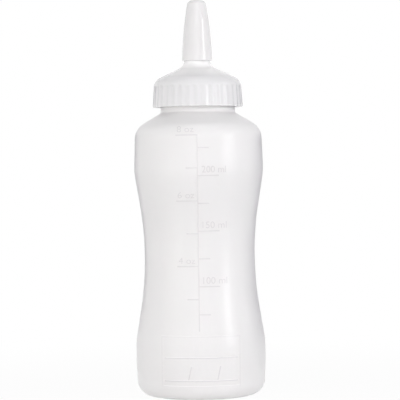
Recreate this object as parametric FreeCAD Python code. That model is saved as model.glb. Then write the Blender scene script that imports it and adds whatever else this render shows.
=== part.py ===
import FreeCAD, Part
import math
import os

# A squeeze bottle for sauce, in three pieces: a waisted, blow-moulded bottle with a raised
# volume scale and date panel, a fluted screw cap that rises into a nozzle, and a small cover
# pushed over the nozzle. Millimetres, +Z up, front face towards -Y. The origin is on the
# bottle's axis, in the plane that it stands on.

# Bottle. Its outline is a run of corners, which are then rounded.
WALL = 1.0
BAND_RADIUS = 28.5            # the two widest places, below and above the waist
FOOT_INSET = 0.75             # how much narrower the foot's corner is than the band
FOOT_ROUND = 8.0
FOOT_TAPER_LENGTH = 15.0      # the foot narrows slightly below this height
FOOT_TAPER_ROUND = 60.0
LOWER_BAND_LENGTH = 24.3      # from the table up to the lower crease
WAIST_LENGTH = 74.2           # between the two creases
WAIST_INSET = 4.2
FLANK_LEAN = 9.4              # degrees, where the waist leaves a crease
CREASE_ROUND = 1.2
UPPER_BAND_LENGTH = 19.1      # from the upper crease up to the shoulder's corner
SHOULDER_INSET = 0.6
SHOULDER_ROUND = 8.0
SHOULDER_ANGLE = 31.0         # degrees above level
BASE_RING_WIDTH = 2.25        # the flat ring that the bottle stands on
BASE_RING_ROUND = 1.0
BASE_SLOPE_WIDTH = 4.0        # from the ring in to the recess
BASE_RECESS = 2.0
BASE_RECESS_ROUND = 3.0

# Neck, with its thread.
NECK_RADIUS = 16.4
NECK_WALL = 1.6
NECK_SHOW = 2.5               # bare neck between the shoulder and the cap's rim
NECK_ROOT_ROUND = 1.2

THREAD_PITCH = 4.2
THREAD_TURNS = 1.25
THREAD_DEPTH = 1.1
THREAD_ROOT_WIDTH = 1.9
THREAD_CREST_WIDTH = 0.9
THREAD_GAP = 0.3              # between the two threads, and from each thread to the other wall
THREAD_TOP_GAP = 1.6          # from the neck's rim down to the end of its thread
THREAD_BURY = 0.3             # how far a thread's root runs into its wall

# Screw cap and nozzle.
CAP_WALL = 1.3
CAP_SKIRT_WALL = 2.05         # at the rim
CAP_DRAFT = 3.6               # degrees
CAP_SHOULDER_RISE = 0.7       # above the neck's rim
CAP_SHOULDER_ROUND = 5.0
CAP_RIM_MARGIN = 0.9          # from the cap's rim up to its thread
CAP_RIM_ROUND = 0.4
CONE_ANGLE = 24.8             # degrees above level
SEAL_OVERLAP = 0.5            # the flat under the cap reaches this far inside the neck's rim
NOZZLE_BASE_RADIUS = 5.8
NOZZLE_TIP_RADIUS = 2.6
NOZZLE_LENGTH = 27.9
NOZZLE_WALL = 1.0
NOZZLE_ROOT_ROUND = 3.0
NOZZLE_TIP_ROUND = 0.3

FLUTE_COUNT = 36
FLUTE_WIDTH = 2.6
FLUTE_DEPTH = 0.3
FLUTE_TOP_GAP = 3.7           # from the corner of the cap's shoulder down to the round end

# Cover over the nozzle.
COVER_WALL = 0.9
COVER_TOP_WALL = 1.0
COVER_GAP = 2.35              # from the foot of the nozzle up to the cover's rim
COVER_FIT = 0.25              # clearance around the nozzle at the cover's rim
COVER_DRAFT = 2.3             # degrees, where the side leaves the rim
COVER_SIDE_STRAIGHT = 3.0     # straight side next to the rim and next to the top
COVER_TOP_FIT = 0.4           # clearance around the nozzle's tip
COVER_TOP_ROUND = 1.2
COVER_RIM_ROUND = 0.15

# Raised scale and date panel on the front.
RELIEF = 0.3
RELIEF_BURY = 0.2
LINE_WIDTH = 0.5
SCALE_CENTRE = -0.55          # X of the scale's upright line
SCALE_BOTTOM_GAP = 2.0        # from the panel up to the upright line
LONG_MARK = 9.2
SHORT_MARK = 5.0
ML_MARKS = range(75, 226, 25)
ML_LONG_STEP = 50             # the marks of every 50 ml are long
ML_TOP_GAP = 8.7              # from the shoulder's corner down to the highest mark
ML_BOTTOM_GAP = 9.1           # from the panel up to the lowest mark
OZ_MARKS = range(3, 9)
OZ_LONG_STEP = 2
OZ_TOP_GAP = 3.3
OZ_BOTTOM_GAP = 15.6
PANEL_HALF_WIDTH = 17.1
PANEL_BOTTOM = 6.8
PANEL_RISE = 3.7              # how far the panel reaches above the lower crease
PANEL_LINE_WIDTH = 0.6
RULE_RISES = (1.9, 11.8)      # from the panel's bottom
RULE_GAP = 0.8                # from the panel's frame to the end of a rule
SLASH_CENTRES = (-4.8, 7.7)
SLASH_RISE = 2.4
SLASH_HEIGHT = 5.9
SLASH_LEAN = 12.0             # degrees


def tangent(angle):
    return math.tan(math.radians(angle))


SHOULDER_SLOPE = tangent(SHOULDER_ANGLE)
CONE_SLOPE = tangent(CONE_ANGLE)

FOOT_RADIUS = BAND_RADIUS - FOOT_INSET
WAIST_RADIUS = BAND_RADIUS - WAIST_INSET
SHOULDER_RADIUS = BAND_RADIUS - SHOULDER_INSET
BASE_RING_RADIUS = FOOT_RADIUS - FOOT_ROUND - BASE_RING_WIDTH
BASE_RECESS_RADIUS = BASE_RING_RADIUS - BASE_SLOPE_WIDTH
UPPER_CREASE_HEIGHT = LOWER_BAND_LENGTH + WAIST_LENGTH
SHOULDER_HEIGHT = UPPER_CREASE_HEIGHT + UPPER_BAND_LENGTH
NECK_ROOT_HEIGHT = SHOULDER_HEIGHT + (SHOULDER_RADIUS - NECK_RADIUS) * SHOULDER_SLOPE

THREAD_CLIMB = THREAD_PITCH * THREAD_TURNS
THREAD_SLOPE = (THREAD_ROOT_WIDTH - THREAD_CREST_WIDTH) / 2 / THREAD_DEPTH
THREAD_DROP = (               # from the neck's thread down to the cap's thread under it
    THREAD_CREST_WIDTH + THREAD_SLOPE * (THREAD_DEPTH - THREAD_GAP) + THREAD_GAP
)
CAP_SKIRT_LENGTH = (
    THREAD_TOP_GAP + THREAD_CLIMB + THREAD_DROP + THREAD_ROOT_WIDTH + CAP_RIM_MARGIN
)
NECK_TOP = NECK_ROOT_HEIGHT + NECK_SHOW + CAP_SKIRT_LENGTH
NECK_THREAD_START = NECK_TOP - THREAD_TOP_GAP - THREAD_ROOT_WIDTH / 2 - THREAD_CLIMB

CAP_BORE_RADIUS = NECK_RADIUS + THREAD_DEPTH + THREAD_GAP
CAP_RIM_RADIUS = CAP_BORE_RADIUS + CAP_SKIRT_WALL
CAP_RIM_HEIGHT = NECK_TOP - CAP_SKIRT_LENGTH
CAP_SHOULDER_HEIGHT = NECK_TOP + CAP_SHOULDER_RISE
CAP_SHOULDER_RADIUS = (
    CAP_RIM_RADIUS - (CAP_SHOULDER_HEIGHT - CAP_RIM_HEIGHT) * tangent(CAP_DRAFT)
)
NOZZLE_ROOT_HEIGHT = (
    CAP_SHOULDER_HEIGHT + (CAP_SHOULDER_RADIUS - NOZZLE_BASE_RADIUS) * CONE_SLOPE
)
NOZZLE_TIP_HEIGHT = NOZZLE_ROOT_HEIGHT + NOZZLE_LENGTH
COVER_RIM_HEIGHT = NOZZLE_ROOT_HEIGHT + COVER_GAP
COVER_TOP_HEIGHT = NOZZLE_TIP_HEIGHT + COVER_TOP_WALL
COVER_TOP_RADIUS = NOZZLE_TIP_RADIUS + COVER_TOP_FIT + COVER_WALL
PANEL_TOP = LOWER_BAND_LENGTH + PANEL_RISE


# Outlines: a list of corners (radius, height, rounding) that runs with the solid on its left.

def rounded_edges(corners):
    """Straight edges between the corners, with an arc at each corner that has a rounding."""
    points = [FreeCAD.Vector(radius, 0, height) for radius, height, _ in corners]
    edges = []
    start = points[0]
    for before, here, after, corner in zip(points, points[1:], points[2:], corners[1:]):
        back = (before - here).normalize()
        ahead = (after - here).normalize()
        half_turn = (math.pi - back.getAngle(ahead)) / 2
        reach = corner[2] * math.tan(half_turn)
        if reach < 0.001:
            edges.append(Part.LineSegment(start, here).toShape())
            start = here
            continue
        first = here + back * reach
        last = here + ahead * reach
        inward = (back + ahead).normalize()
        middle = here + inward * (corner[2] / math.cos(half_turn) - corner[2])
        edges.append(Part.LineSegment(start, first).toShape())
        edges.append(Part.Arc(first, middle, last).toShape())
        start = last
    edges.append(Part.LineSegment(start, points[-1]).toShape())
    return edges


def cross_of_lines(point_a, along_a, point_b, along_b):
    """Where two lines of the outline's plane meet."""
    turn = along_a[0] * along_b[1] - along_a[1] * along_b[0]
    gap = (point_b[0] - point_a[0], point_b[1] - point_a[1])
    step = (gap[0] * along_b[1] - gap[1] * along_b[0]) / turn
    return point_a[0] + along_a[0] * step, point_a[1] + along_a[1] * step


def inset_corners(corners, insets):
    """The outline moved to its left, each stretch by its own inset."""
    lines = []
    for start, end, inset in zip(corners, corners[1:], insets):
        length = math.hypot(end[0] - start[0], end[1] - start[1])
        along = ((end[0] - start[0]) / length, (end[1] - start[1]) / length)
        moved = (start[0] - along[1] * inset, start[1] + along[0] * inset)
        lines.append((moved, along, length))
    moved_corners = [(*lines[0][0], 0.0)]
    for low, high, corner, inset in zip(lines, lines[1:], corners[1:], insets):
        turns_left = low[1][0] * high[1][1] - low[1][1] * high[1][0] > 0
        rounding = corner[2] - inset if turns_left else corner[2] + inset
        if corner[2] == 0:
            rounding = 0.0
        moved_corners.append((*cross_of_lines(*low[:2], *high[:2]), max(rounding, 0.0)))
    (start, along, length) = lines[-1]
    moved_corners.append((start[0] + along[0] * length, corners[-1][1], 0.0))
    return moved_corners


def turned(corners):
    """The solid of revolution inside an outline whose two ends lie on the axis."""
    edges = rounded_edges(corners)
    first = edges[0].firstVertex(True).Point
    last = edges[-1].lastVertex(True).Point
    edges.append(Part.LineSegment(last, first).toShape())
    face = Part.Face(Part.Wire(Part.__sortEdges__(edges)))
    return face.revolve(FreeCAD.Vector(0, 0, 0), FreeCAD.Vector(0, 0, 1), 360)


def upright_box(x_from, x_to, z_from, z_to):
    """A stamp that reaches from the bottle's axis out through its front wall."""
    reach = 2 * BAND_RADIUS
    corner = FreeCAD.Vector(x_from, -reach, z_from)
    return Part.makeBox(x_to - x_from, reach, z_to - z_from, corner)


def thread(root_radius, crest_radius, start_height):
    """A helical ridge from its root radius to its crest, whose first section is at the height."""
    bury = math.copysign(THREAD_BURY, root_radius - crest_radius)
    half_root = THREAD_ROOT_WIDTH / 2 + THREAD_SLOPE * THREAD_BURY
    half_crest = THREAD_CREST_WIDTH / 2
    section = Part.makePolygon([
        FreeCAD.Vector(root_radius + bury, 0, -half_root),
        FreeCAD.Vector(crest_radius, 0, -half_crest),
        FreeCAD.Vector(crest_radius, 0, half_crest),
        FreeCAD.Vector(root_radius + bury, 0, half_root),
        FreeCAD.Vector(root_radius + bury, 0, -half_root),
    ])
    path = Part.makeHelix(THREAD_PITCH, THREAD_CLIMB, root_radius)
    ridge = Part.Wire(path.Edges).makePipeShell([section], True, True)
    ridge.translate(FreeCAD.Vector(0, 0, start_height))
    return ridge


# Bottle

def waist_corner():
    """Where the two straight flanks would meet, with the rounding that keeps the waist's width."""
    half_length = WAIST_LENGTH / 2
    radius = BAND_RADIUS - half_length * tangent(FLANK_LEAN)
    spread = 1 / math.cos(math.radians(FLANK_LEAN)) - 1
    return radius, LOWER_BAND_LENGTH + half_length, (WAIST_RADIUS - radius) / spread


def bottle_corners():
    return [
        (0, BASE_RECESS, 0),
        (BASE_RECESS_RADIUS, BASE_RECESS, BASE_RECESS_ROUND),
        (BASE_RING_RADIUS, 0, BASE_RING_ROUND),
        (FOOT_RADIUS, 0, FOOT_ROUND),
        (BAND_RADIUS, FOOT_TAPER_LENGTH, FOOT_TAPER_ROUND),
        (BAND_RADIUS, LOWER_BAND_LENGTH, CREASE_ROUND),
        waist_corner(),
        (BAND_RADIUS, UPPER_CREASE_HEIGHT, CREASE_ROUND),
        (SHOULDER_RADIUS, SHOULDER_HEIGHT, SHOULDER_ROUND),
        (NECK_RADIUS, NECK_ROOT_HEIGHT, NECK_ROOT_ROUND),
        (NECK_RADIUS, NECK_TOP, 0),
    ]


def bottle_skin(inset, neck_inset):
    """The bottle's outline moved inwards and closed at the rim, as a solid."""
    corners = bottle_corners()
    insets = [inset] * (len(corners) - 2) + [neck_inset]
    return turned(inset_corners(corners, insets) + [(0, NECK_TOP, 0)])


def mark_stamps(volumes, long_step, lowest, highest, side):
    """Evenly spaced marks from the upright line towards one side, -1 or 1."""
    pitch = (highest - lowest) / (len(volumes) - 1)
    half = LINE_WIDTH / 2
    stamps = []
    for index, volume in enumerate(volumes):
        height = lowest + index * pitch
        end = SCALE_CENTRE + side * (SHORT_MARK if volume % long_step else LONG_MARK)
        left, right = sorted((SCALE_CENTRE, end))
        stamps.append(upright_box(left, right, height - half, height + half))
    return stamps


def scale_stamps():
    half = LINE_WIDTH / 2
    top = SHOULDER_HEIGHT - OZ_TOP_GAP
    upright = upright_box(SCALE_CENTRE - half, SCALE_CENTRE + half,
                          PANEL_TOP + SCALE_BOTTOM_GAP, top + half)
    ml_marks = mark_stamps(ML_MARKS, ML_LONG_STEP, PANEL_TOP + ML_BOTTOM_GAP,
                           SHOULDER_HEIGHT - ML_TOP_GAP, 1)
    oz_marks = mark_stamps(OZ_MARKS, OZ_LONG_STEP, PANEL_TOP + OZ_BOTTOM_GAP, top, -1)
    return [upright] + ml_marks + oz_marks


def panel_stamps():
    """The frame of the date panel, its two rules and the two slashes of the date."""
    side = PANEL_HALF_WIDTH
    width = PANEL_LINE_WIDTH
    stamps = [
        upright_box(-side, -side + width, PANEL_BOTTOM, PANEL_TOP),
        upright_box(side - width, side, PANEL_BOTTOM, PANEL_TOP),
        upright_box(-side, side, PANEL_BOTTOM, PANEL_BOTTOM + width),
        upright_box(-side, side, PANEL_TOP - width, PANEL_TOP),
    ]
    rule_end = side - width - RULE_GAP
    half = LINE_WIDTH / 2
    for rise in RULE_RISES:
        height = PANEL_BOTTOM + rise
        stamps.append(upright_box(-rule_end, rule_end, height - half, height + half))
    for centre in SLASH_CENTRES:
        bottom = PANEL_BOTTOM + SLASH_RISE
        slash = upright_box(centre - half, centre + half, bottom, bottom + SLASH_HEIGHT)
        pivot = FreeCAD.Vector(centre, 0, bottom + SLASH_HEIGHT / 2)
        slash.rotate(pivot, FreeCAD.Vector(0, 1, 0), SLASH_LEAN)
        stamps.append(slash)
    return stamps


def raised_marks():
    skin = bottle_skin(-RELIEF, 0).cut(bottle_skin(RELIEF_BURY, RELIEF_BURY))
    stamps = scale_stamps() + panel_stamps()
    return skin.common(stamps[0].multiFuse(stamps[1:]))


def make_bottle():
    hollow = bottle_skin(0, 0).cut(bottle_skin(WALL, NECK_WALL))
    ridge = thread(NECK_RADIUS, NECK_RADIUS + THREAD_DEPTH, NECK_THREAD_START)
    return hollow.multiFuse([raised_marks(), ridge]).removeSplitter()


# Screw cap

def cap_outside():
    return turned([
        (0, CAP_RIM_HEIGHT, 0),
        (CAP_RIM_RADIUS, CAP_RIM_HEIGHT, CAP_RIM_ROUND),
        (CAP_SHOULDER_RADIUS, CAP_SHOULDER_HEIGHT, CAP_SHOULDER_ROUND),
        (NOZZLE_BASE_RADIUS, NOZZLE_ROOT_HEIGHT, NOZZLE_ROOT_ROUND),
        (NOZZLE_TIP_RADIUS, NOZZLE_TIP_HEIGHT, NOZZLE_TIP_ROUND),
        (0, NOZZLE_TIP_HEIGHT, 0),
    ])


def cap_inside():
    """The bore for the neck, the flat that seals on its rim, the cone and the nozzle's bore."""
    below = CAP_RIM_HEIGHT - CAP_WALL
    above = NOZZLE_TIP_HEIGHT + CAP_WALL
    seal_radius = NECK_RADIUS - NECK_WALL - SEAL_OVERLAP
    ceiling_drop = CAP_WALL / math.cos(math.radians(CONE_ANGLE))

    def ceiling(radius):
        return NOZZLE_ROOT_HEIGHT + (NOZZLE_BASE_RADIUS - radius) * CONE_SLOPE - ceiling_drop

    bore_radius = NOZZLE_BASE_RADIUS - NOZZLE_WALL
    bore_tip_radius = NOZZLE_TIP_RADIUS - NOZZLE_WALL
    return turned([
        (0, below, 0),
        (CAP_BORE_RADIUS, below, 0),
        (CAP_BORE_RADIUS, NECK_TOP, 0),
        (seal_radius, NECK_TOP, 0),
        (seal_radius, ceiling(seal_radius), 0),
        (bore_radius, ceiling(bore_radius), NOZZLE_ROOT_ROUND / 2),
        (bore_tip_radius, NOZZLE_TIP_HEIGHT, 0),
        (bore_tip_radius, above, 0),
        (0, above, 0),
    ])


def flute_cutters():
    """One round-ended groove along the skirt's draft, repeated round the cap."""
    skirt_height = CAP_SHOULDER_HEIGHT - CAP_RIM_HEIGHT
    curve = 8 * FLUTE_DEPTH / FLUTE_WIDTH ** 2
    radius = 1 / (curve - 1 / CAP_RIM_RADIUS)
    length = skirt_height - FLUTE_TOP_GAP
    run = FreeCAD.Vector(-tangent(CAP_DRAFT), 0, 1)
    reach = CAP_RIM_RADIUS + radius - FLUTE_DEPTH
    start = FreeCAD.Vector(reach, 0, CAP_RIM_HEIGHT) - run * length
    end = FreeCAD.Vector(reach, 0, CAP_RIM_HEIGHT) + run * length
    cutter = Part.makeCylinder(radius, (end - start).Length, start, run)
    cutter = cutter.fuse(Part.makeSphere(radius, end)).removeSplitter()
    cutters = []
    for index in range(FLUTE_COUNT):
        flute = cutter.copy()
        angle = 360 * (index + 0.5) / FLUTE_COUNT
        flute.rotate(FreeCAD.Vector(0, 0, 0), FreeCAD.Vector(0, 0, 1), angle)
        cutters.append(flute)
    return cutters


def make_spout_cap():
    """The cap's thread lies just under the neck's, where it pulls the cap down."""
    crest_radius = NECK_RADIUS + THREAD_GAP
    ridge = thread(CAP_BORE_RADIUS, crest_radius, NECK_THREAD_START - THREAD_DROP)
    return cap_outside().cut(cap_inside()).cut(flute_cutters()).fuse(ridge)


# Cover

def nozzle_radius(height):
    rise = (height - NOZZLE_ROOT_HEIGHT) / NOZZLE_LENGTH
    return NOZZLE_BASE_RADIUS + (NOZZLE_TIP_RADIUS - NOZZLE_BASE_RADIUS) * rise


def make_tip_cover():
    """A hollow cone with a bowed side, open below, whose top rests on the nozzle's tip."""
    rim_radius = nozzle_radius(COVER_RIM_HEIGHT) + COVER_FIT + COVER_WALL
    half_rise = (COVER_TOP_HEIGHT - COVER_RIM_HEIGHT) / 2
    middle_radius = rim_radius - tangent(COVER_DRAFT) * half_rise
    bend = math.atan2(middle_radius - COVER_TOP_RADIUS, half_rise) - math.radians(COVER_DRAFT)
    side_round = (half_rise - COVER_SIDE_STRAIGHT) / math.tan(bend / 2)
    corners = [
        (rim_radius, COVER_RIM_HEIGHT, 0),
        (middle_radius, COVER_RIM_HEIGHT + half_rise, side_round),
        (COVER_TOP_RADIUS, COVER_TOP_HEIGHT, COVER_TOP_ROUND),
        (0, COVER_TOP_HEIGHT, 0),
    ]
    inner = inset_corners(corners, [COVER_WALL, COVER_WALL, COVER_TOP_WALL])
    inner[0] = (rim_radius - COVER_WALL, COVER_RIM_HEIGHT, 0)
    inner[-1] = (0, NOZZLE_TIP_HEIGHT, 0)
    outside = [(0, COVER_RIM_HEIGHT, 0), (*corners[0][:2], COVER_RIM_ROUND)] + corners[1:]
    return turned(outside).cut(turned([(0, COVER_RIM_HEIGHT, 0)] + inner))


def main():
    os.makedirs("parts", exist_ok=True)
    pieces = {
        "bottle": make_bottle(),
        "spout_cap": make_spout_cap(),
        "tip_cover": make_tip_cover(),
    }
    for name, piece in pieces.items():
        if not piece.isValid() or len(piece.Solids) != 1:
            raise ValueError(f"{name} is not one valid solid")
        piece.Solids[0].exportStep(f"parts/{name}.step")
        print(name, "volume cm3:", round(piece.Volume / 1000, 3))


main()
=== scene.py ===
import math

import bmesh
import bpy
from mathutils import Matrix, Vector


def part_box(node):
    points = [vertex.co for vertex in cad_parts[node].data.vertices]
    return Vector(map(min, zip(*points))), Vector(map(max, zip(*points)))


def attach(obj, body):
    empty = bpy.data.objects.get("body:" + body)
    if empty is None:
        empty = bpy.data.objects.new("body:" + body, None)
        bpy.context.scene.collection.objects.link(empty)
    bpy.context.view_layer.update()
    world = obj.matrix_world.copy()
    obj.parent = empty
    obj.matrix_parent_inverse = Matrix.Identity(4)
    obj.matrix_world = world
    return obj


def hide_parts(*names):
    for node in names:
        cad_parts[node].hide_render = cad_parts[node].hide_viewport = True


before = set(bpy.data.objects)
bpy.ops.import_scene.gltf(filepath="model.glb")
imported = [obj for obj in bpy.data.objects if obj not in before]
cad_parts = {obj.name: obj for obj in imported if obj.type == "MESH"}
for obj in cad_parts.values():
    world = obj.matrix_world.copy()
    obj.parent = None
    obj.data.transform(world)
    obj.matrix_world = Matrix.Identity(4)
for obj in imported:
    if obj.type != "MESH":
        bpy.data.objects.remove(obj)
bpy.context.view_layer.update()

# A squeeze bottle for sauce in three mouldings: the waisted bottle, the screw cap that rises
# into a nozzle, and the small cover over the nozzle. Sizes are in millimetres, and MM turns
# them into the frame's metres. The front faces -Y.

MM = 0.001
NEAR = 0.01                   # places closer than this are the same place
MERGE = 0.002 * MM

bottle_box = [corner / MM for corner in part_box("bottle")]
cap_box = [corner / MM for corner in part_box("spout_cap")]
cover_box = [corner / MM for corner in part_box("tip_cover")]

# Bottle
WALL = 1.0
BAND_RADIUS = bottle_box[1].x
FOOT_RADIUS = BAND_RADIUS - 0.75
FOOT_ROUNDING = 6.8
FOOT_TAPER = 15               # the foot narrows slightly below this height
FOOT_TAPER_ROUNDING = 60
LOWER_CREASE = 24.3
WAIST_LENGTH = 74.2
WAIST_RADIUS = BAND_RADIUS - 4.2
FLANK_LEAN = math.radians(9.4)
UPPER_CREASE = LOWER_CREASE + WAIST_LENGTH
CREASE_ROUNDING = 30
SHOULDER_HEIGHT = UPPER_CREASE + 19.1
SHOULDER_RADIUS = BAND_RADIUS - 0.6
SHOULDER_ROUNDING = 8
SHOULDER_SLOPE = math.tan(math.radians(31))
BASE_RECESS = 2
BASE_RECESS_RADIUS = 13.5
BASE_RECESS_ROUNDING = 3
BASE_RING_RADIUS = 17.5       # inner edge of the ring that the bottle stands on
BASE_RING_ROUNDING = 1
NECK_RADIUS = 16.4
NECK_BORE = 14.8
NECK_TOP = bottle_box[1].z
NECK_ROOT = SHOULDER_HEIGHT + (SHOULDER_RADIUS - NECK_RADIUS) * SHOULDER_SLOPE
NECK_ROOT_ROUNDING = 1.2

# Thread
PITCH = 4.2
TURNS = 1.25
THREAD_DEPTH = 1.1
THREAD_GAP = 0.3
THREAD_BURY = 0.3             # how far a thread's root runs into its wall
THREAD_ROOT = 1.9
THREAD_CREST = 0.9
THREAD_TOP_GAP = 1.6          # from the neck's rim down to the end of its thread
NECK_THREAD_START = NECK_TOP - THREAD_TOP_GAP - THREAD_ROOT / 2 - PITCH * TURNS
THREAD_DROP = 1.56            # from the neck's thread down to the cap's thread under it

# Cap and nozzle
CAP_RIM = cap_box[0].z
CAP_RIM_ROUNDING = 0.4
CAP_WALL = 1.3
CAP_BORE = NECK_RADIUS + THREAD_DEPTH + THREAD_GAP
CAP_RADIUS = CAP_BORE + 2.05
CAP_DRAFT = math.tan(math.radians(3.6))
CAP_SHOULDER = NECK_TOP + 0.7
CAP_SHOULDER_RADIUS = CAP_RADIUS - (CAP_SHOULDER - CAP_RIM) * CAP_DRAFT
CAP_SHOULDER_ROUNDING = 5
SEAL_RADIUS = NECK_BORE - 0.5      # inner edge of the flat that sits on the neck's rim
CONE_ANGLE = math.radians(24.8)
CONE_SLOPE = math.tan(CONE_ANGLE)
NOZZLE_RADIUS = 5.8
NOZZLE_WALL = 1
NOZZLE_ROOT = CAP_SHOULDER + (CAP_SHOULDER_RADIUS - NOZZLE_RADIUS) * CONE_SLOPE
NOZZLE_ROOT_ROUNDING = 5
NOZZLE_BORE_ROUNDING = 1.5
NOZZLE_TIP = cap_box[1].z
TIP_RADIUS = 2.6
TIP_ROUNDING = 0.3

FLUTES = 36
FLUTE_DEPTH = 0.3
FLUTE_HALF_WIDTH = 1.3
FLUTE_COLUMNS = 4             # columns of points from a flute's middle to its edge
FLUTE_TOP = CAP_SHOULDER - 3.7
FLUTE_END_CURVE = 3.28        # radius of the run-out at the top of a flute
FLUTE_END_ROWS = (0, 0.35, 0.7)    # rows of points in the run-out, from the top of a flute

# Cover
COVER_RIM = cover_box[0].z
COVER_RIM_RADIUS = cover_box[1].x
COVER_RIM_ROUNDING = 0.15
COVER_TOP = cover_box[1].z
COVER_TOP_RADIUS = 3.9
COVER_TOP_ROUNDING = 2.0
COVER_WALL = 0.9
COVER_CEILING_ROUNDING = 0.2
COVER_DRAFT = math.radians(2.3)
COVER_STRAIGHT = 3            # straight side next to the rim and next to the top

# Raised marks
RELIEF = 0.3
RELIEF_BURY = 0.2
LINE = 0.5
PANEL_HALF_WIDTH = 17.1
PANEL_FRAME = 0.6
PANEL_BOTTOM = 5.9
PANEL_TOP = LOWER_CREASE + 3.7
RULE_HALF_LENGTH = PANEL_HALF_WIDTH - PANEL_FRAME - 0.8
RULE_RISES = (2.8, 12.7)      # from the panel's bottom
SLASH_RISE = 3.3              # from the panel's bottom
SLASH_CENTRES = (-4.8, 7.7)
SLASH_HEIGHT = 5.9
SLASH_LEAN = SLASH_HEIGHT * math.tan(math.radians(12))
SCALE_X = -0.55
SCALE_BOTTOM = PANEL_TOP + 2
LONG_MARK, SHORT_MARK = 9.2, 5.0
VOLUME_RISE = 1.2             # from a mark's middle up to its volume

# Each side of the scale: its direction along X, the number of marks, the heights of the lowest
# and the highest, and the volumes over the long ones, with their gap from the upright line,
# width and height
SCALE_SIDES = (
    (1, 7, PANEL_TOP + 9.1, SHOULDER_HEIGHT - 8.7,
     ("100 ml", "150 ml", "200 ml"), 1.9, 10.4, 2.9),
    (-1, 6, PANEL_TOP + 15.6, SHOULDER_HEIGHT - 3.3,
     ("4 oz", "6 oz", "8 oz"), 1.4, 7.2, 2.7),
)

# The marks start as flat stamps on a plane inside the bottle, and run this far out to the front
STAMP_PLANE = -10
STAMP_REACH = 25


# Working by hand: picking, drawing, turning

def pick_only(piece):
    """Makes a piece the active one and the only one selected."""
    bpy.ops.object.select_all(action="DESELECT")
    piece.select_set(True)
    bpy.context.view_layer.objects.active = piece


def pick(piece, kind, wanted):
    """In edit mode, selects only the points or edges whose middle, in mm, passes the test."""
    bpy.ops.mesh.select_mode(type={"verts": "VERT", "edges": "EDGE"}[kind])
    bpy.ops.mesh.select_all(action="DESELECT")
    mesh = bmesh.from_edit_mesh(piece.data)
    for part in getattr(mesh, kind):
        middle = part.co if kind == "verts" else (part.verts[0].co + part.verts[1].co) / 2
        if wanted(middle / MM):
            part.select_set(True)
    bmesh.update_edit_mesh(piece.data)


def merge_points(distance=MERGE):
    """Merges the points of the mesh that is being edited."""
    bpy.ops.mesh.select_all(action="SELECT")
    bpy.ops.mesh.remove_doubles(threshold=distance)


def face_outwards():
    """Turns every face of the mesh that is being edited outwards."""
    bpy.ops.mesh.select_all(action="SELECT")
    bpy.ops.mesh.normals_make_consistent(inside=False)


def start_point(name, x, z, y=0.0):
    """A new piece of one point, left selected in edit mode."""
    bpy.ops.object.select_all(action="DESELECT")
    bpy.ops.mesh.primitive_plane_add(size=MM)
    piece = bpy.context.object
    piece.name = name
    bpy.ops.object.mode_set(mode="EDIT")
    bpy.ops.mesh.select_mode(type="VERT")
    bpy.ops.mesh.select_all(action="SELECT")
    bpy.ops.mesh.merge(type="CENTER")
    bpy.ops.transform.translate(value=(x * MM, y * MM, z * MM))
    return piece


def pull_point(step):
    """Pulls a new point out of the selected one, by a step in metres."""
    bpy.ops.mesh.extrude_vertices_move(TRANSFORM_OT_translate={"value": step})


def pull_edges(x, z):
    """Pulls new faces out of the selected edges."""
    bpy.ops.mesh.extrude_edges_move(TRANSFORM_OT_translate={"value": (x * MM, 0, z * MM)})


def draw_outline(name, corners):
    """Draws an outline in the XZ plane through corners (radius, height, rounding): a point is
    pulled along each straight and spun round the middle of each rounding."""
    piece = start_point(name, *corners[0][:2])
    places = [Vector((radius, 0, height)) * MM for radius, height, _ in corners]
    here = places[0]
    for corner, after, (_, _, rounding) in zip(places[1:], places[2:], corners[1:]):
        back = (here - corner).normalized()
        ahead = (after - corner).normalized()
        turn = math.pi - back.angle(ahead)
        reach = rounding * MM * math.tan(turn / 2)
        pull_point(corner + back * reach - here)
        here = corner + ahead * reach
        if rounding:
            middle = corner + (back + ahead).normalized() * rounding * MM / math.cos(turn / 2)
            # at least 3 steps, none over 6 degrees or 3 mm
            steps = math.ceil(max(3, math.degrees(turn) / 6, turn * rounding / 3))
            bpy.ops.mesh.spin(steps=steps, angle=turn, center=middle,
                              axis=back.cross(ahead).normalized())
    pull_point(places[-1] - here)
    return piece


def turn_round(steps):
    """Spins the outline that is being edited round the bottle's axis."""
    bpy.ops.mesh.select_all(action="SELECT")
    bpy.ops.mesh.spin(steps=steps, angle=math.tau, center=(0, 0, 0), axis=(0, 0, 1))
    merge_points()
    face_outwards()
    bpy.ops.object.mode_set(mode="OBJECT")


def squeeze_selected(share):
    """Draws the selected points in towards the bottle's axis, to a share of their radius."""
    bpy.ops.transform.resize(value=(share, share, 1), center_override=(0, 0, 0))


def apply_modifier(piece, kind, **settings):
    """Adds a modifier with these settings and applies it."""
    pick_only(piece)
    modifier = piece.modifiers.new(kind.lower(), kind)
    for name, value in settings.items():
        setattr(modifier, name, value)
    bpy.ops.object.modifier_apply(modifier=modifier.name)


def combine(piece, other, operation):
    """Joins, cuts or crosses a piece with another, which is used up."""
    apply_modifier(piece, "BOOLEAN", object=other, operation=operation, solver="MANIFOLD")
    bpy.data.objects.remove(other)


def smooth(piece, degrees):
    """Shades a piece smoothly, apart from edges sharper than this."""
    pick_only(piece)
    bpy.ops.object.shade_smooth_by_angle(angle=math.radians(degrees))


# Bottle

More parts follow.
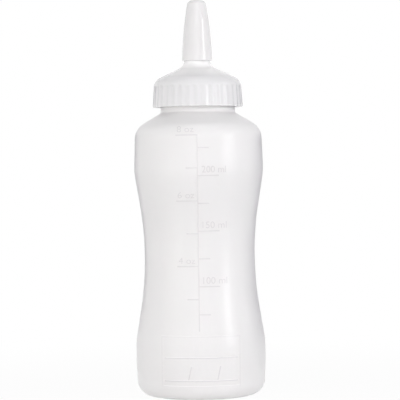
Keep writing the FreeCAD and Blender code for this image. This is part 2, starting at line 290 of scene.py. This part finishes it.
def bottle_side():
    """The corners of the bottle's outside, from the foot up to the shoulder."""
    half_length = WAIST_LENGTH / 2
    waist_corner = BAND_RADIUS - half_length * math.tan(FLANK_LEAN)
    waist_round = (WAIST_RADIUS - waist_corner) / (1 / math.cos(FLANK_LEAN) - 1)
    return [
        (FOOT_RADIUS, 0, FOOT_ROUNDING),
        (BAND_RADIUS, FOOT_TAPER, FOOT_TAPER_ROUNDING),
        (BAND_RADIUS, LOWER_CREASE, CREASE_ROUNDING),
        (waist_corner, LOWER_CREASE + half_length, waist_round),
        (BAND_RADIUS, UPPER_CREASE, CREASE_ROUNDING),
        (SHOULDER_RADIUS, SHOULDER_HEIGHT, SHOULDER_ROUNDING),
    ]


def make_skin():
    """The outside of the bottle between foot and shoulder, as a thin band that the raised marks
    are cut from."""
    low = (FOOT_RADIUS, 0.2, 0)        # just off the plane that the bottle stands on
    skin = draw_outline("skin", [low] + bottle_side()[1:] + [(NECK_RADIUS, NECK_ROOT, 0)])
    turn_round(steps=240)
    thickness = RELIEF + RELIEF_BURY
    apply_modifier(skin, "SOLIDIFY", thickness=thickness * MM,
                   offset=(RELIEF - RELIEF_BURY) / thickness, use_even_offset=True)
    return skin


def mark_heights(count, low, high):
    """The heights of one side's marks, evenly spaced."""
    return [low + index * (high - low) / (count - 1) for index in range(count)]


def draw_scale():
    """The scale's upright line, drawn rung by rung, with marks pulled out of its sides. Every
    second mark is a long one."""
    half = LINE / 2
    marks = []
    for side, count, low, high, *_ in SCALE_SIDES:
        for index, height in enumerate(mark_heights(count, low, high)):
            marks.append((height, side, LONG_MARK if index % 2 else SHORT_MARK))
    rungs = sorted({height + edge for height, _, _ in marks for edge in (-half, half)})
    scale = start_point("scale", SCALE_X - half, SCALE_BOTTOM, STAMP_PLANE)
    pull_point((LINE * MM, 0, 0))
    bpy.ops.mesh.select_all(action="SELECT")
    here = SCALE_BOTTOM
    for rung in rungs:
        pull_edges(0, rung - here)
        here = rung
    for height, side, length in marks:
        pick(scale, "edges", lambda at: abs(at.x - SCALE_X - side * half) < NEAR
             and abs(at.z - height) < half)
        pull_edges(side * (length - half), 0)
    bpy.ops.object.mode_set(mode="OBJECT")
    return scale


def draw_strip(x_from, x_to, z_from, z_to, lean=0.0):
    """A flat strip for a rule or a slash, whose top is moved sideways by the lean."""
    strip = start_point("strip", x_from - lean / 2, z_from, STAMP_PLANE)
    pull_point(((x_to - x_from) * MM, 0, 0))
    bpy.ops.mesh.select_all(action="SELECT")
    pull_edges(lean, z_to - z_from)
    bpy.ops.object.mode_set(mode="OBJECT")
    return strip


def draw_frame():
    """The frame of the date panel."""
    panel = draw_strip(-PANEL_HALF_WIDTH, PANEL_HALF_WIDTH, PANEL_BOTTOM, PANEL_TOP)
    pick_only(panel)
    bpy.ops.object.mode_set(mode="EDIT")
    bpy.ops.mesh.select_all(action="SELECT")
    bpy.ops.mesh.inset(thickness=PANEL_FRAME * MM)
    bpy.ops.mesh.delete(type="FACE")
    bpy.ops.object.mode_set(mode="OBJECT")
    return panel


def draw_panel():
    """The date panel's two rules and two slashes."""
    half = LINE / 2
    pieces = []
    for rise in RULE_RISES:
        height = PANEL_BOTTOM + rise
        pieces.append(draw_strip(-RULE_HALF_LENGTH, RULE_HALF_LENGTH,
                                 height - half, height + half))
    bottom = PANEL_BOTTOM + SLASH_RISE
    for centre in SLASH_CENTRES:
        pieces.append(draw_strip(centre - half, centre + half, bottom, bottom + SLASH_HEIGHT,
                                 SLASH_LEAN))
    return pieces


def draw_words(words, x, z, width, height, side):
    """A volume over its mark, from x towards one side."""
    bpy.ops.object.select_all(action="DESELECT")
    bpy.ops.object.text_add(rotation=(math.pi / 2, 0, 0))
    text = bpy.context.object
    text.data.body = words
    text.data.size = 4 * MM
    bpy.ops.object.convert(target="MESH")
    word = bpy.context.object
    bpy.ops.object.transform_apply(location=True, rotation=True, scale=True)
    low = Vector(map(min, *[point.co for point in word.data.vertices]))
    high = Vector(map(max, *[point.co for point in word.data.vertices]))
    left = x if side > 0 else x - width
    word.scale = (width * MM / (high.x - low.x), 1, height * MM / (high.z - low.z))
    word.location = (left * MM - low.x * word.scale.x, STAMP_PLANE * MM,
                     z * MM - low.z * word.scale.z)
    bpy.ops.object.transform_apply(location=True, rotation=True, scale=True)
    return word


def draw_volumes():
    """The volumes over the long marks, which are every second one."""
    pieces = []
    for side, count, low, high, volumes, gap, wide, tall in SCALE_SIDES:
        for words, height in zip(volumes, mark_heights(count, low, high)[1::2]):
            pieces.append(draw_words(words, SCALE_X + side * gap, height + VOLUME_RISE,
                                     wide, tall, side))
    return pieces


def raise_marks(name, stamps, shade):
    """Presses flat stamps through the bottle's skin. The attribute "raised" says how much
    painted shade the marks get in their colour, from 0 to 1, for the light that their thicker
    wall lets through less."""
    marks = stamps[0]
    pick_only(marks)
    for stamp in stamps:
        stamp.select_set(True)
    bpy.ops.object.join()
    marks.name = name
    bpy.ops.object.mode_set(mode="EDIT")
    merge_points()
    bpy.ops.mesh.select_all(action="SELECT")
    bpy.ops.mesh.extrude_region_move(
        TRANSFORM_OT_translate={"value": (0, -STAMP_REACH * MM, 0)})
    face_outwards()
    bpy.ops.object.mode_set(mode="OBJECT")
    combine(marks, make_skin(), "INTERSECT")
    raised = marks.data.attributes.new("raised", "FLOAT", "FACE")
    for face in raised.data:
        face.value = shade
    return marks


def make_thread(name, root, crest, start):
    """A ridge wound round the neck or inside the cap, closed at both ends."""
    slope = (THREAD_ROOT - THREAD_CREST) / 2 / THREAD_DEPTH
    half_root, half_crest = THREAD_ROOT / 2 + slope * THREAD_BURY, THREAD_CREST / 2
    buried = root + math.copysign(THREAD_BURY, root - crest)
    thread = draw_outline(name, [
        (buried, start - half_root, 0), (crest, start - half_crest, 0),
        (crest, start + half_crest, 0), (buried, start + half_root, 0),
        (buried, start - half_root, 0),
    ])
    merge_points()
    bpy.ops.object.mode_set(mode="OBJECT")
    apply_modifier(thread, "SCREW", angle=math.tau * TURNS, screw_offset=PITCH * TURNS * MM,
                   steps=120, render_steps=120, use_merge_vertices=True)
    bpy.ops.object.mode_set(mode="EDIT")
    bpy.ops.mesh.select_all(action="SELECT")
    bpy.ops.mesh.fill_holes(sides=4)
    face_outwards()
    bpy.ops.object.mode_set(mode="OBJECT")
    return thread


def make_bottle():
    """The blown bottle: a turned outline with a wall, and its marks and thread joined on."""
    bottle = draw_outline("bottle_blown", [
        (0, BASE_RECESS, 0),
        (BASE_RECESS_RADIUS, BASE_RECESS, BASE_RECESS_ROUNDING),
        (BASE_RING_RADIUS, 0, BASE_RING_ROUNDING)] + bottle_side() + [
        (NECK_RADIUS, NECK_ROOT, NECK_ROOT_ROUNDING),
        (NECK_RADIUS, NECK_TOP, 0),
    ])
    turn_round(steps=240)
    apply_modifier(bottle, "SOLIDIFY", thickness=WALL * MM, offset=-1, use_even_offset=True)

    # The neck's wall is thicker than the body's, so its inside is drawn in to the bore.
    bpy.ops.object.mode_set(mode="EDIT")
    neck_inside = NECK_RADIUS - WALL
    pick(bottle, "verts", lambda at: at.z > NECK_ROOT + NECK_ROOT_ROUNDING
         and at.xy.length < neck_inside + 0.1)
    squeeze_selected(NECK_BORE / neck_inside)
    merge_points(0.02 * MM)
    bpy.ops.object.mode_set(mode="OBJECT")

    # The frame gets less painted shade than the scale, panel and volumes
    combine(bottle, raise_marks("frame", [draw_frame()], shade=0.3), "UNION")
    stamps = [draw_scale()] + draw_panel() + draw_volumes()
    combine(bottle, raise_marks("marks", stamps, shade=1.0), "UNION")
    thread = make_thread("neck_thread", NECK_RADIUS, NECK_RADIUS + THREAD_DEPTH,
                         NECK_THREAD_START)
    combine(bottle, thread, "UNION")
    smooth(bottle, degrees=30)
    return bottle


# Cap and cover

def press_flutes(cap):
    """Presses shallow flutes into the skirt: points are pulled in towards the axis, row by row.
    The cap is turned in 360 steps, so its columns of points stand a degree apart."""
    bpy.ops.object.mode_set(mode="EDIT")
    mesh = bmesh.from_edit_mesh(cap.data)
    outer = CAP_RADIUS - 1.2           # the skirt's outside lies beyond this radius
    ends = sorted({round(point.co.z / MM - FLUTE_TOP, 3) for point in mesh.verts
                   if point.co.xy.length > outer * MM
                   and 0.1 < point.co.z / MM - FLUTE_TOP < 1.5})
    pitch = math.tau / FLUTES
    for above in (0, *ends):
        for column in range(FLUTE_COLUMNS):
            across = math.radians(column) * CAP_RADIUS
            depth = FLUTE_DEPTH * (1 - (across / FLUTE_HALF_WIDTH) ** 2)
            depth -= above ** 2 / 2 / FLUTE_END_CURVE
            if depth <= 0:
                continue

            def in_flute(at):
                turn = math.atan2(at.y, at.x) % pitch - pitch / 2
                past_end = at.z - FLUTE_TOP
                return (at.xy.length > outer and abs(abs(math.degrees(turn)) - column) < 0.1
                        and (abs(past_end - above) < NEAR if above else past_end < NEAR))
            pick(cap, "verts", in_flute)
            squeeze_selected(1 - depth / CAP_RADIUS)
    bpy.ops.object.mode_set(mode="OBJECT")


def make_cap():
    """The cap and its nozzle, drawn as one closed outline that runs up outside and back down
    inside."""
    ceiling_drop = CAP_WALL / math.cos(CONE_ANGLE)

    def ceiling(radius):
        return NOZZLE_ROOT + (NOZZLE_RADIUS - radius) * CONE_SLOPE - ceiling_drop

    nozzle_bore = NOZZLE_RADIUS - NOZZLE_WALL
    rows = [(CAP_RADIUS - (height - CAP_RIM) * CAP_DRAFT, height, 0)
            for height in [FLUTE_TOP + rise for rise in FLUTE_END_ROWS]]
    cap = draw_outline("spout_cap_moulded", [
        (CAP_BORE, CAP_RIM, 0),
        (CAP_RADIUS, CAP_RIM, CAP_RIM_ROUNDING)] + rows + [
        (CAP_SHOULDER_RADIUS, CAP_SHOULDER, CAP_SHOULDER_ROUNDING),
        (NOZZLE_RADIUS, NOZZLE_ROOT, NOZZLE_ROOT_ROUNDING),
        (TIP_RADIUS, NOZZLE_TIP, TIP_ROUNDING),
        (TIP_RADIUS - NOZZLE_WALL, NOZZLE_TIP, 0),
        (nozzle_bore, ceiling(nozzle_bore), NOZZLE_BORE_ROUNDING),
        (SEAL_RADIUS, ceiling(SEAL_RADIUS), 0),
        (SEAL_RADIUS, NECK_TOP, 0),
        (CAP_BORE, NECK_TOP, 0),
        (CAP_BORE, CAP_RIM, 0),
    ])
    turn_round(steps=360)
    press_flutes(cap)
    thread = make_thread("cap_thread", CAP_BORE, CAP_BORE - THREAD_DEPTH,
                         NECK_THREAD_START - THREAD_DROP)
    combine(cap, thread, "UNION")
    smooth(cap, degrees=40)
    return cap


def make_cover():
    """A hollow cone with a bowed side, open below, drawn from the middle of its ceiling."""
    rise = (COVER_TOP - COVER_RIM) / 2
    middle = COVER_RIM_RADIUS - math.tan(COVER_DRAFT) * rise
    bend = math.atan2(middle - COVER_TOP_RADIUS, rise) - COVER_DRAFT
    bow = (rise - COVER_STRAIGHT) / math.tan(bend / 2)
    lean = bend + COVER_DRAFT
    top_wall = COVER_TOP - NOZZLE_TIP
    ceiling = COVER_TOP_RADIUS + top_wall * math.tan(lean) - COVER_WALL / math.cos(lean)
    cover = draw_outline("tip_cover_moulded", [
        (0, NOZZLE_TIP, 0),
        (ceiling, NOZZLE_TIP, COVER_CEILING_ROUNDING),
        (middle - COVER_WALL, COVER_RIM + rise, bow - COVER_WALL),
        (COVER_RIM_RADIUS - COVER_WALL, COVER_RIM, 0),
        (COVER_RIM_RADIUS, COVER_RIM, COVER_RIM_ROUNDING),
        (middle, COVER_RIM + rise, bow),
        (COVER_TOP_RADIUS, COVER_TOP, COVER_TOP_ROUNDING),
        (0, COVER_TOP, 0),
    ])
    turn_round(steps=128)
    smooth(cover, degrees=40)
    return cover


# Materials

POLYTHENE_IOR = 1.51
SCATTER_TINT = (0.97, 1.0, 0.98)
MARK_PAINTED_SHADE = 0.84           # painted shade: raised marks' colour is darkened to this share
PARTING_CREST = 0.1           # half the width of the parting line's crest
PARTING_FOOT = 0.45           # half the width of its foot
# Painted shade: the skirt's colour is darkened in front of the neck, which keeps light from it
FULL_SHADE_BELOW = CAP_SHOULDER - 1    # the neck stands behind the cap up to this height
NO_SHADE_ABOVE = CAP_SHOULDER + 4      # and nothing does above this one


def link(tree, source, out, target, into):
    """Links a node's output to another node's input."""
    tree.links.new(source.outputs[out], target.inputs[into])


def add_node(tree, kind, **inputs):
    """Adds a node and sets its inputs, named with _ for a space."""
    node = tree.nodes.new(kind)
    for name, value in inputs.items():
        node.inputs[name.replace("_", " ")].default_value = value
    return node


def map_range(tree, source, out, smoothed=True, **inputs):
    """Adds a Map Range node on an output."""
    node = add_node(tree, "ShaderNodeMapRange", **inputs)
    if smoothed:
        node.interpolation_type = "SMOOTHSTEP"
    link(tree, source, out, node, "Value")
    return node


def maths(tree, operation, first, second):
    """A Math node on two inputs, each a number or a (node, output) pair."""
    node = tree.nodes.new("ShaderNodeMath")
    node.operation = operation
    for index, value in enumerate((first, second)):
        if isinstance(value, tuple):
            link(tree, *value, node, index)
        else:
            node.inputs[index].default_value = value
    return node, "Value"


def mix_colours(tree, share, first, second):
    """Mixes two colours, each a (node, output) pair or red, green and blue. The node's colours
    are its inputs 6 and 7 and its output 2."""
    mix = tree.nodes.new("ShaderNodeMix")
    mix.data_type = "RGBA"
    link(tree, *share, mix, 0)
    for value, socket in ((first, 6), (second, 7)):
        if len(value) == 2:
            link(tree, *value, mix, socket)
        else:
            mix.inputs[socket].default_value = (*value, 1)
    return mix, 2


def moulded_surface():
    """A node group for moulded polythene: slow clouds in the wall, streaks along the draw and a
    fine orange peel. The scales of its patterns are per metre."""
    tree = bpy.data.node_groups.new("moulded_surface", "ShaderNodeTree")
    face = tree.interface
    face.new_socket("Place", in_out="INPUT", socket_type="NodeSocketVector")
    for name, kind in (("Colour", "Color"), ("Cloud Colour", "Color"), ("Cloud Size", "Float"),
                       ("Sheen Low", "Float"), ("Sheen High", "Float"), ("Streaks", "Float"),
                       ("Peel", "Float")):
        face.new_socket(name, in_out="INPUT", socket_type="NodeSocket" + kind)
    for name, kind in (("Colour", "Color"), ("Roughness", "Float"), ("Height", "Float")):
        face.new_socket(name, in_out="OUTPUT", socket_type="NodeSocket" + kind)
    inside = tree.nodes.new("NodeGroupInput")
    outside = tree.nodes.new("NodeGroupOutput")

    clouds = add_node(tree, "ShaderNodeTexNoise", Detail=1.0, Roughness=0.4)
    link(tree, inside, "Place", clouds, "Vector")
    link(tree, inside, "Cloud Size", clouds, "Scale")
    spread = map_range(tree, clouds, "Fac", From_Min=0.25, From_Max=0.75)
    clouded = mix_colours(tree, (spread, "Result"), (inside, "Colour"),
                          (inside, "Cloud Colour"))
    link(tree, *clouded, outside, "Colour")

    drawn = add_node(tree, "ShaderNodeMapping", Scale=(1.0, 1.0, 0.015))
    link(tree, inside, "Place", drawn, "Vector")
    streaks = add_node(tree, "ShaderNodeTexNoise", Scale=420.0, Detail=3.0)
    link(tree, drawn, "Vector", streaks, "Vector")
    peel = add_node(tree, "ShaderNodeTexNoise", Scale=650.0, Detail=2.0)
    link(tree, inside, "Place", peel, "Vector")
    height = maths(tree, "ADD", maths(tree, "MULTIPLY", (streaks, "Fac"), (inside, "Streaks")),
                   maths(tree, "MULTIPLY", (peel, "Fac"), (inside, "Peel")))
    link(tree, *height, outside, "Height")

    rubbed = add_node(tree, "ShaderNodeTexNoise", Scale=160.0, Detail=4.0, Roughness=0.6)
    link(tree, inside, "Place", rubbed, "Vector")
    sheen = map_range(tree, rubbed, "Fac", smoothed=False, From_Min=0.3, From_Max=0.7)
    link(tree, inside, "Sheen Low", sheen, "To Min")
    link(tree, inside, "Sheen High", sheen, "To Max")
    link(tree, sheen, "Result", outside, "Roughness")
    return tree


def along_axis(tree, place, output, axis):
    """One coordinate of a place, as a (node, output) pair."""
    axes = tree.nodes.new("ShaderNodeSeparateXYZ")
    link(tree, place, output, axes, "Vector")
    return axes, axis


def parting_line(tree, place):
    """A low ridge in the plane Y = 0: the mould's parting line and the weld across the base."""
    distance = maths(tree, "ABSOLUTE", along_axis(tree, place, "Object", "Y"), 0.0)
    ridge = map_range(tree, *distance, From_Min=PARTING_CREST * MM,
                      From_Max=PARTING_FOOT * MM, To_Min=1.0, To_Max=0.0)
    return ridge, "Result"


def skirt_shade_mask(tree, place):
    """Mask of the painted shade: 1 on the skirt, which has the neck and its thread behind it, 0
    on the cone and the nozzle.
    """
    below = map_range(tree, *along_axis(tree, place, "Object", "Z"), From_Min=FULL_SHADE_BELOW * MM,
                      From_Max=NO_SHADE_ABOVE * MM, To_Min=1.0, To_Max=0.0)
    return below, "Result"


def plastic(name, surface, colour, cloud, cloud_size, sheen, streaks, peel, bump, depth,
            parted=False, skirt_shade=None):
    """A moulded polythene. Light reaches depth into its wall, and its relief is bump high, both
    in mm. Sheen is its range of roughness. The skirt's colour in front of the neck is painted
    shade, for the light that the neck keeps from it."""
    material = bpy.data.materials.new(name)
    material.use_nodes = True
    tree = material.node_tree
    shader = tree.nodes["Principled BSDF"]
    shader.inputs["IOR"].default_value = POLYTHENE_IOR
    shader.inputs["Subsurface Weight"].default_value = 1.0
    shader.inputs["Subsurface Radius"].default_value = SCATTER_TINT
    shader.inputs["Subsurface Scale"].default_value = depth * MM
    place = tree.nodes.new("ShaderNodeTexCoord")
    group = tree.nodes.new("ShaderNodeGroup")
    group.node_tree = surface
    link(tree, place, "Object", group, "Place")
    for socket, value in (("Colour", (*colour, 1)), ("Cloud Colour", (*cloud, 1)),
                          ("Cloud Size", cloud_size), ("Sheen Low", sheen[0]),
                          ("Sheen High", sheen[1]), ("Streaks", streaks), ("Peel", peel)):
        group.inputs[socket].default_value = value
    seen = (group, "Colour")
    # painted shade on the skirt in front of the neck
    if skirt_shade:
        seen = mix_colours(tree, skirt_shade_mask(tree, place), seen, skirt_shade)
    # Painted shade: the raised marks are darkened, to stand for less light through the thicker
    # wall
    raised = tree.nodes.new("ShaderNodeAttribute")
    raised.attribute_name = "raised"
    painted_mark_colour = [shade * MARK_PAINTED_SHADE for shade in colour]
    seen = mix_colours(tree, (raised, "Fac"), seen, painted_mark_colour)
    link(tree, *seen, shader, "Base Color")
    link(tree, group, "Roughness", shader, "Roughness")
    height = (group, "Height")
    if parted:
        height = maths(tree, "ADD", height, parting_line(tree, place))
    relief = add_node(tree, "ShaderNodeBump", Strength=1.0, Distance=bump * MM)
    link(tree, *height, relief, "Height")
    link(tree, relief, "Normal", shader, "Normal")
    return material


def finish_piece(piece, material, node):
    """Gives a piece its material, and puts it in the place of its node."""
    piece.data.materials.clear()
    piece.data.materials.append(material)
    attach(piece, "root")
    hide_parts(node)


surface = moulded_surface()
milky = plastic("milky_polythene", surface, colour=(0.98, 0.958, 0.968),
                cloud=(0.975, 0.955, 0.94), cloud_size=28.0, sheen=(0.29, 0.37), streaks=0.8,
                peel=0.5, bump=0.05, depth=1.8, parted=True)
# The cap's skirt gets painted shade in front of the neck, where less light comes through
white = plastic("white_polythene", surface, colour=(0.965, 0.96, 0.97),
                cloud=(0.95, 0.95, 0.96), cloud_size=45.0, sheen=(0.13, 0.19), streaks=0.2,
                peel=0.6, bump=0.02, depth=0.95, skirt_shade=(0.775, 0.775, 0.785))
cover_white = plastic("cover_polythene", surface, colour=(0.98, 0.975, 0.985),
                      cloud=(0.965, 0.965, 0.975), cloud_size=60.0, sheen=(0.13, 0.18),
                      streaks=0.2, peel=0.5, bump=0.02, depth=2.2)

finish_piece(make_bottle(), milky, "bottle")
finish_piece(make_cap(), white, "spout_cap")
finish_piece(make_cover(), cover_white, "tip_cover")


# Stage, light and camera. Here sizes are in metres and lamps in watts.

FLOOR_SIZE = 12
PAPER_SHADE = (0.9, 0.9, 0.9, 1)
FOOT_WHITE = 0.955            # the share of plain white at the foot, where the rest is shaded
SHADE_START, SHADE_END = 0.05, 0.3     # between these distances the share grows to all
WORLD_TINT = (1.0, 0.985, 1.0, 1)
CLOTH_SHADE = (0.04, 0.045, 0.1, 1)
LAMP_AIM = Vector((0, 0, 0.09))    # the bottle's middle


def white_rays(tree):
    """1 for the rays that should meet plain white: from the camera, in gloss and in glass."""
    rays = tree.nodes.new("ShaderNodeLightPath")
    seen = maths(tree, "MAXIMUM", (rays, "Is Camera Ray"), (rays, "Is Glossy Ray"))
    return maths(tree, "MAXIMUM", seen, (rays, "Is Transmission Ray"))


def mix_white(tree, share, shader, white, output):
    """Mixes a share of white into what a floor or world puts out."""
    mix = tree.nodes.new("ShaderNodeMixShader")
    link(tree, *share, mix, "Fac")
    link(tree, shader, 0, mix, 1)
    link(tree, white, 0, mix, 2)
    link(tree, mix, 0, output, "Surface")


def make_floor():
    """White paper, which keeps a little of its shade round the foot."""
    bpy.ops.object.select_all(action="DESELECT")
    bpy.ops.mesh.primitive_plane_add(size=FLOOR_SIZE)
    floor = bpy.context.object
    floor.name = "floor"
    paper = bpy.data.materials.new("white_paper")
    paper.use_nodes = True
    tree = paper.node_tree
    shader = tree.nodes["Principled BSDF"]
    shader.inputs["Base Color"].default_value = PAPER_SHADE
    shader.inputs["Roughness"].default_value = 0.9
    shader.inputs["Specular IOR Level"].default_value = 0.1
    place = tree.nodes.new("ShaderNodeTexCoord")
    away = tree.nodes.new("ShaderNodeVectorMath")
    away.operation = "LENGTH"
    link(tree, place, "Object", away, "Vector")
    share = map_range(tree, away, "Value", From_Min=SHADE_START, From_Max=SHADE_END,
                      To_Min=FOOT_WHITE)
    share = maths(tree, "MULTIPLY", (share, "Result"), white_rays(tree))
    glow = add_node(tree, "ShaderNodeEmission", Color=(1, 1, 1, 1), Strength=1.0)
    mix_white(tree, share, shader, glow, tree.nodes["Material Output"])
    floor.data.materials.append(paper)


def make_world(horizon, zenith):
    """Soft light from all round, weaker from above. The camera, gloss and glass see white."""
    world = bpy.data.worlds.new("studio")
    world.use_nodes = True
    tree = world.node_tree
    shade = tree.nodes["Background"]
    place = tree.nodes.new("ShaderNodeTexCoord")
    fall = map_range(tree, *along_axis(tree, place, "Generated", "Z"), From_Min=0.0,
                     From_Max=0.9, To_Min=horizon, To_Max=zenith)
    link(tree, fall, "Result", shade, "Strength")
    shade.inputs["Color"].default_value = WORLD_TINT
    white = add_node(tree, "ShaderNodeBackground", Color=(1, 1, 1, 1), Strength=1.0)
    mix_white(tree, white_rays(tree), shade, white, tree.nodes["World Output"])
    bpy.context.scene.world = world


def place_round(around, up, distance):
    """A place at an angle round the object, in degrees (0 is the front, positive to the right),
    at a height above the floor and a distance from the bottle's axis."""
    turn = math.radians(around)
    return Vector((math.sin(turn) * distance, -math.cos(turn) * distance, up))


def aimed(place, target):
    """The turn that faces a lamp or a card at its target."""
    return (target - place).to_track_quat("-Z", "Y").to_euler()


def softbox(name, around, up, distance, width, height, power, colour=(1, 1, 1)):
    """An area lamp aimed at the bottle's middle."""
    place = place_round(around, up, distance)
    bpy.ops.object.light_add(type="AREA", location=place)
    lamp = bpy.context.object
    lamp.name = name
    lamp.data.shape = "RECTANGLE"
    lamp.data.size = width
    lamp.data.size_y = height
    lamp.data.energy = power
    lamp.data.color = colour
    lamp.rotation_euler = aimed(place, LAMP_AIM)


def dark_cloth():
    """The cloth of the flags."""
    cloth = bpy.data.materials.new("dark_cloth")
    cloth.use_nodes = True
    shader = cloth.node_tree.nodes["Principled BSDF"]
    shader.inputs["Base Color"].default_value = CLOTH_SHADE
    shader.inputs["Roughness"].default_value = 0.95
    return cloth


def hang_flag(name, cloth, around, up, distance, width, height):
    """A dark card beside the object, hidden from the camera, that draws a darker edge down the
    object's side."""
    place = place_round(around, up, distance)
    bpy.ops.object.select_all(action="DESELECT")
    bpy.ops.mesh.primitive_plane_add(size=1, location=place,
                                     rotation=aimed(place, Vector((0, 0, up))))
    flag = bpy.context.object
    flag.name = name
    flag.scale = (width, height, 1)
    flag.visible_camera = False
    flag.data.materials.append(cloth)


make_floor()
cloth = dark_cloth()
hang_flag("flag_right", cloth, around=135, up=0.09, distance=0.4, width=0.4, height=0.14)
hang_flag("flag_left", cloth, around=-152, up=0.1, distance=0.4, width=0.15, height=0.14)
make_world(horizon=1.54, zenith=0.0)
softbox("front", around=0, up=0.6, distance=1.3, width=0.9, height=0.6, power=1.8,
        colour=(1.0, 0.985, 0.99))
softbox("overhead", around=0, up=1.3, distance=0.5, width=0.8, height=0.8, power=2.9)
softbox("low_left", around=-50, up=0.015, distance=0.5, width=0.4, height=0.2, power=0.55,
        colour=(1.0, 0.99, 0.9))
softbox("low_front", around=0, up=0.015, distance=0.5, width=0.4, height=0.2, power=0.27)
softbox("strip_right", around=55, up=0.25, distance=1.1, width=0.04, height=0.5, power=2.3)

# The camera stands a little above the bottle's middle, looks down at it by 0.86 degrees, and is
# rolled by 0.77.
bpy.ops.object.camera_add(location=(0.0006, -0.88, 0.0992),
                          rotation=(math.radians(90 - 0.86), math.radians(0.77), 0))
camera = bpy.context.object
camera.name = "camera"
camera.data.sensor_width = 36
camera.data.lens = 179.2
camera.data.clip_start = 0.05
camera.data.clip_end = 50
scene = bpy.context.scene
scene.camera = camera
scene.view_settings.view_transform = "Standard"
